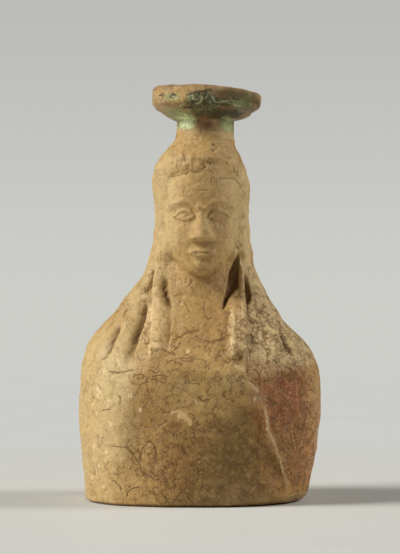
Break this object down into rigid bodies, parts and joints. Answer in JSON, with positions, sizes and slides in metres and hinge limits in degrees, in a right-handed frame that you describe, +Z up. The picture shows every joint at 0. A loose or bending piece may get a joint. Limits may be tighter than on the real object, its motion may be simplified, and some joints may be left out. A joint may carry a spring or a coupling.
{
  "type": "aryballos",
  "caption": "Small fired-clay oil flask shaped as a long-haired female bust cut flat at the waist, with a short neck and a disc-shaped mouth on the crown.",
  "frame": {"origin": "middle of the flat base, on the surface that the flask stands on", "axes": "+Z up through the neck, -Y towards the face, +X towards the figure's left arm"},
  "size_m": [0.0588, 0.0415, 0.1],
  "materials": {
    "fired_clay": "worn, finely crackled glaze over buff clay, with green glaze left on the mouth and a reddish patch on one arm"
  },
  "bodies": {
    "root": {"flask": "fired_clay"}
  },
  "joints": []
}
